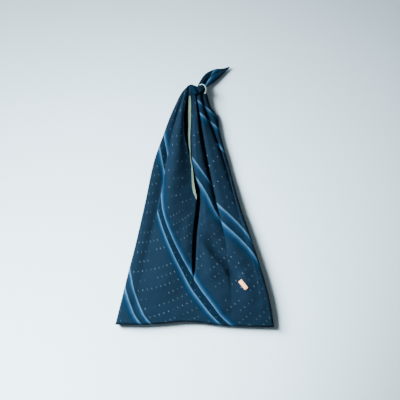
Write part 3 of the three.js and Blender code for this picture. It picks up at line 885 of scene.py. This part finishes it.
def dash_factors(tree, uv):
    """Cells of a grid with one short dash in the middle of each: how far a place is inside its dash across
    and along, whether a slow noise keeps that cell, and a random strength for the cell."""
    grid = add_node(tree, "VectorMath", {0: uv, 1: (*DASH["start"], 0)}, operation="SUBTRACT")
    in_cells = {0: grid.outputs[0], 1: (*DASH["cell"], 1)}
    cell = add_node(tree, "VectorMath", in_cells, operation="DIVIDE")
    inside = add_node(tree, "VectorMath", {0: cell.outputs[0]}, operation="FRACTION")
    number = add_node(tree, "VectorMath", {0: cell.outputs[0]}, operation="FLOOR").outputs[0]
    middle = {0: inside.outputs[0], 1: (0.5, 0.5, 0)}
    offset = add_node(tree, "VectorMath", middle, operation="SUBTRACT")
    in_metres = {0: offset.outputs[0], 1: (*DASH["cell"], 0)}
    reach = add_node(tree, "VectorMath", in_metres, operation="MULTIPLY")
    size = add_node(tree, "VectorMath", {0: reach.outputs[0]}, operation="ABSOLUTE")
    sizes = add_node(tree, "SeparateXYZ", {0: size.outputs[0]})
    factors = []
    for axis, key in enumerate(("half_width", "half_length")):
        full, gone = DASH[key]
        fade = {0: sizes.outputs[axis], 1: full, 2: gone, 3: 1.0, 4: 0.0}
        factors.append(add_node(tree, "MapRange", fade).outputs[0])
    slow = add_node(tree, "VectorMath", {0: number, 1: RUNS["spread"]}, operation="MULTIPLY")
    runs = add_node(tree, "TexNoise", {"Vector": slow.outputs[0], "Scale": 1.0, "Detail": 0.0})
    low, high = RUNS["kept"]
    factors.append(add_node(tree, "MapRange", {0: runs.outputs[0], 1: low, 2: high}).outputs[0])
    luck = add_node(tree, "TexWhiteNoise", {0: number}, noise_dimensions="2D").outputs[0]
    weak, strong = DASH["strength"]
    strength = add_node(tree, "MapRange", {0: luck, 3: weak, 4: strong}).outputs[0]
    return factors, strength


def striped_cotton():
    """Plain-weave cotton, resist-dyed, matt and almost without shine."""
    material, tree = new_material("striped_cotton_dyed")
    uv = add_node(tree, "UVMap", uv_map="cloth").outputs[0]
    noise = add_node(tree, "TexNoise", {"Vector": uv, "Scale": WANDER_SCALE, "Detail": 3.0})
    part = add_node(tree, "SeparateXYZ", {0: uv})
    sway = add_node(tree, "Math", {0: noise.outputs[0], 1: 0.5}, operation="SUBTRACT").outputs[0]
    swayed = {0: sway, 1: WANDER, 2: part.outputs[0]}
    ramp = band_colours(tree, add_node(tree, "Math", swayed, operation="MULTIPLY_ADD").outputs[0])
    factors, strength = dash_factors(tree, uv)
    before_end = {0: part.outputs[1], 1: BODY_END}
    on_body = add_node(tree, "Math", before_end, operation="LESS_THAN").outputs[0]
    for factor in (*factors, on_body, ramp.outputs[1]):
        strength = add_node(tree, "Math", {0: strength, 1: factor}, operation="MULTIPLY").outputs[0]
    dashed = {0: strength, 6: ramp.outputs[0], 7: linear(DASH["colour"])}
    colour = add_node(tree, "Mix", dashed, data_type="RGBA")
    warp = add_node(tree, "TexWave", {"Vector": uv, "Scale": WEAVE_SCALE}, bands_direction="X")
    weft = add_node(tree, "TexWave", {"Vector": uv, "Scale": WEAVE_SCALE}, bands_direction="Y")
    crossing = {0: warp.outputs[1], 1: weft.outputs[1]}
    weave = add_node(tree, "Math", crossing, operation="MULTIPLY").outputs[0]
    normal = add_node(tree, "Bump", {"Height": weave, "Strength": 0.12, "Distance": 0.0004})
    finish_material(tree, colour.outputs[2], 0.88, normal.outputs[0], 0.02)
    return material


print(len(STRIPES), "places on the ramp, repeating after", PERIOD, "mm")

# %% [markdown]
# ## Lining and label
# The lining is thin matt cotton of a pale green-grey. Its two pieces are one cloth given as a shaded and a
# lit copy: along the slit its colour is darkened as painted shade for the shadow in the opening, and the
# turned edge at the knot has a paler pair of colours as painted light. The label is a densely woven peach
# tape, matt too. One function serves all three, because they differ only in colour and thread.

# %% Lining and label
def plain_cotton(name, code, darker, thread):
    """Plain-weave cotton in one colour, matt, a little uneven in its dye, with a fine rib of threads."""
    material, tree = new_material(name)
    uv = add_node(tree, "UVMap", uv_map="cloth").outputs[0]
    noise = add_node(tree, "TexNoise", {"Vector": uv, "Scale": 90.0, "Detail": 4.0})
    dye = {0: noise.outputs[0], 6: linear(code), 7: linear(darker)}
    colour = add_node(tree, "Mix", dye, data_type="RGBA")
    threads = add_node(tree, "TexWave", {"Vector": uv, "Scale": thread}, bands_direction="X")
    rib = {"Height": threads.outputs[1], "Strength": 0.15, "Distance": 0.0003}
    normal = add_node(tree, "Bump", rib)
    finish_material(tree, colour.outputs[2], 0.9, normal.outputs[0], 0.1)
    return material


bag.data.materials.append(striped_cotton())
# Painted shade: the slit lining's colour is darkened to stand for the shadow inside the opening.
lining.data.materials.append(plain_cotton("lining_cotton_painted_shade", "#5C6F62", "#52665A", LINING_SCALE))
# Painted light: the turned edge is a paler copy of the same lining cloth, for its lit place on the knot.
edge.data.materials.append(plain_cotton("lining_cotton_painted_lit", "#A9C3BC", "#9DB7B0", LINING_SCALE))
label.data.materials.append(plain_cotton("label_woven", "#DE9A6E", "#D39065", LABEL_SCALE))
print("finishes", [piece.data.materials[0].name for piece in (bag, lining, edge, label)])

# %% [markdown]
# ## Floor
# The bag lies on a plain pale sheet of paper. It only has to take the shadow, so it is one big face a hair
# below the bag's back, with a faint grain. It belongs to the stage and not to the part.

# %% Floor
FLOOR_HALF, FLOOR_DROP = 4, 0.0002
SQUARE = ((-1, -1), (1, -1), (1, 1), (-1, 1))
floor_corners = [(x * FLOOR_HALF, y * FLOOR_HALF, -FLOOR_DROP) for x, y in SQUARE]
floor_mesh = bpy.data.meshes.new("floor")
floor_mesh.from_pydata(floor_corners, [], [(0, 1, 2, 3)])
floor = bpy.data.objects.new("floor", floor_mesh)
bpy.context.scene.collection.objects.link(floor)
# Uncoated paper: matt, cool white, with a grain of about 3 mm that is barely there.
floor_material, tree = new_material("floor_paper")
place = add_node(tree, "TexCoord").outputs["Object"]
grain = add_node(tree, "TexNoise", {"Vector": place, "Scale": 300.0})
tones = {0: grain.outputs[0], 6: linear("#D3E9F3"), 7: linear("#D0E6F0")}
tint = add_node(tree, "Mix", tones, data_type="RGBA")
normal = add_node(tree, "Bump", {"Height": grain.outputs[0], "Strength": 0.02, "Distance": 0.001})
finish_material(tree, tint.outputs[2], 0.9, normal.outputs[0], 0.2)
floor.data.materials.append(floor_material)
print("floor", 2 * FLOOR_HALF, "m wide")

# %% [markdown]
# ## Light
# One tall soft light stands low on the left, and a dim fill comes from all round. The low light gives the
# folds their dark sides and throws the soft shadow to the right. The tall light is drawn as a stack of
# round lamps whose beams are squeezed flat and aimed low, because that spreads the light over the floor as
# a flagged soft box does: bright at the lower left and fading towards the far right. An area light would be
# simpler, but its beam can't be squeezed.

# %% Lights
# Turn and rise are the direction of the stack's middle in degrees, away its distance in metres, step the
# angle between lamps, aim the point on the floor, cone the beam's angle, squeeze and roll its flattening
# and the turn of that.
KEY = {"turn": 153, "rise": 29, "away": 2.5, "count": 7, "step": 5, "aim": (-0.664, -1.148, 0), "cone": 109.7,
       "squeeze": 0.0944, "radius": 0.45, "roll": 0.273, "power": 7880, "colour": "#F2FAFF"}
FILL = {"colour": "#DDE6EA", "strength": 0.196}

lamp = bpy.data.lights.new("key", "SPOT")
lamp.energy, lamp.color = KEY["power"] / KEY["count"], linear(KEY["colour"])[:3]
lamp.shadow_soft_size = KEY["radius"]
lamp.spot_size, lamp.spot_blend = np.radians(KEY["cone"]), 1.0
turn = np.radians(KEY["turn"])
steps = np.arange(KEY["count"]) - (KEY["count"] - 1) / 2
for rise in np.radians(KEY["rise"] + KEY["step"] * steps):
    key = bpy.data.objects.new("key", lamp)
    outwards = Vector((np.cos(turn) * np.cos(rise), np.sin(turn) * np.cos(rise), np.sin(rise)))
    key.location = KEY["away"] * outwards
    facing = (Vector(KEY["aim"]) - key.location).to_track_quat("-Z", "Y")
    key.rotation_euler = (facing @ Quaternion((0, 0, 1), KEY["roll"])).to_euler()
    key.scale = (1, KEY["squeeze"], 1)
    bpy.context.scene.collection.objects.link(key)

world = bpy.data.worlds.new("fill")
world.use_nodes = True
background = world.node_tree.nodes["Background"]
background.inputs[0].default_value = linear(FILL["colour"])
background.inputs[1].default_value = FILL["strength"]
bpy.context.scene.world = world
print(KEY["count"], "lamps in the stack, the highest at", round(key.location.z, 2), "m")

# %% [markdown]
# ## Pieces and solids
# Every piece rides on the bag's one body and stands for its solid, which is hidden. The cloth was cut as
# one long piece as wide as the base, its neck a V on both sides.

# %% Pieces and solids
for piece, node, slot in (
    (bag, "outer_cloth", "striped_cotton"), (lining, "slit_lining", "lining_cotton"),
    (edge, "knot_lining", "lining_cotton"), (label, "label", "woven_label"),
):
    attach(piece, "root")
    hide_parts(node)
